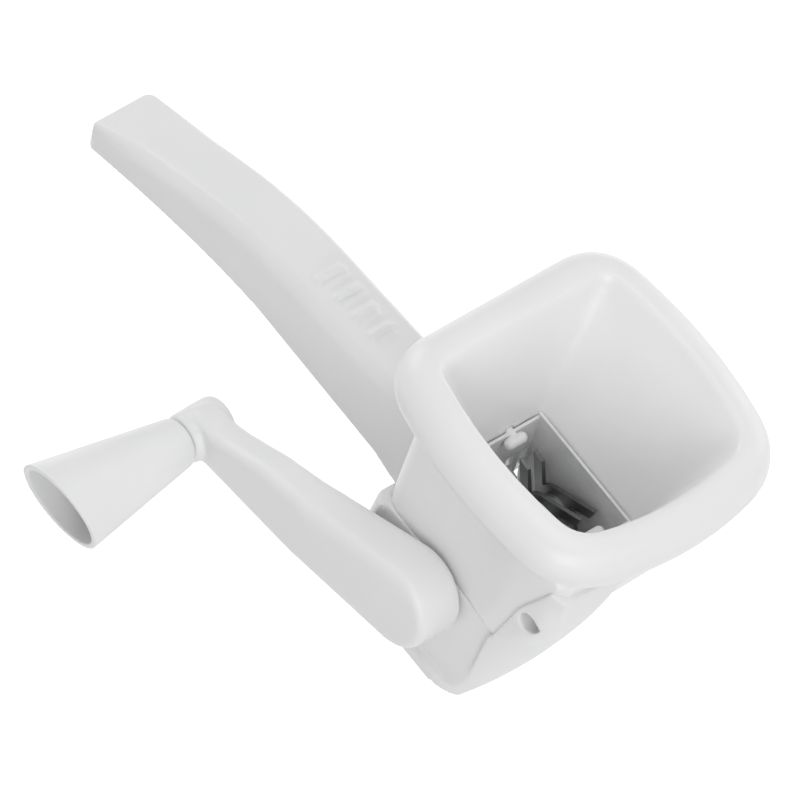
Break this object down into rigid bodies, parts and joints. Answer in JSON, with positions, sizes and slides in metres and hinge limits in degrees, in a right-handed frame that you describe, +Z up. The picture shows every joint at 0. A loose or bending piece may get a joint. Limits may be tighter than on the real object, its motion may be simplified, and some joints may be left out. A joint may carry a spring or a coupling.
{
  "type": "rotary herb mill",
  "caption": "Hand-held herb mill with a square funnel hopper, a slotted steel cutter insert, a rotor of hooked cutter wheels, a bent handle and a side crank with a conical knob.",
  "frame": {"origin": "middle of the outlet opening, in the plane of the frame's bottom rim", "axes": "+X points away from the handle, the rotor shaft lies along Y with the crank on the -Y side, +Z is up out of the hopper"},
  "size_m": [0.2051, 0.1465, 0.0923],
  "materials": {
    "frame_plastic": "satin white moulded plastic",
    "hopper_plastic": "glossy white moulded plastic",
    "crank_plastic": "satin white moulded plastic",
    "peg_plastic": "plain white plastic",
    "sheet_steel": "stamped stainless sheet",
    "cutter_steel": "stamped stainless cutters",
    "pin_steel": "drawn stainless rod and tube"
  },
  "bodies": {
    "frame": {"mill_frame": "frame_plastic", "handle": "frame_plastic", "hopper": "hopper_plastic", "cutter_trough": "sheet_steel", "trough_peg_front": "peg_plastic", "trough_peg_rear": "peg_plastic", "bush_near": "peg_plastic", "bush_far": "peg_plastic"},
    "crank": {"crank_arm": "crank_plastic", "rotor_shaft": "pin_steel", "cutter_wheel_1": "cutter_steel", "cutter_wheel_2": "cutter_steel", "cutter_wheel_3": "cutter_steel", "cutter_wheel_4": "cutter_steel", "wheel_spacer_1": "pin_steel", "wheel_spacer_2": "pin_steel", "wheel_spacer_3": "pin_steel", "spacer_tube_near": "pin_steel", "spacer_tube_far": "pin_steel", "shaft_clip": "pin_steel", "knob_axle": "pin_steel", "knob_washer": "pin_steel"},
    "knob": {"knob": "crank_plastic"}
  },
  "joints": [
    {"name": "crank_turn", "type": "hinge", "parent": "frame", "child": "crank", "pos_m": [0, 0, 0.0278], "axis": [0, 1, 0], "continuous": true},
    {"name": "knob_spin", "type": "hinge", "parent": "crank", "child": "knob", "pos_m": [-0.07239, -0.07, 0.00894], "axis": [0, 1, 0], "continuous": true}
  ]
}
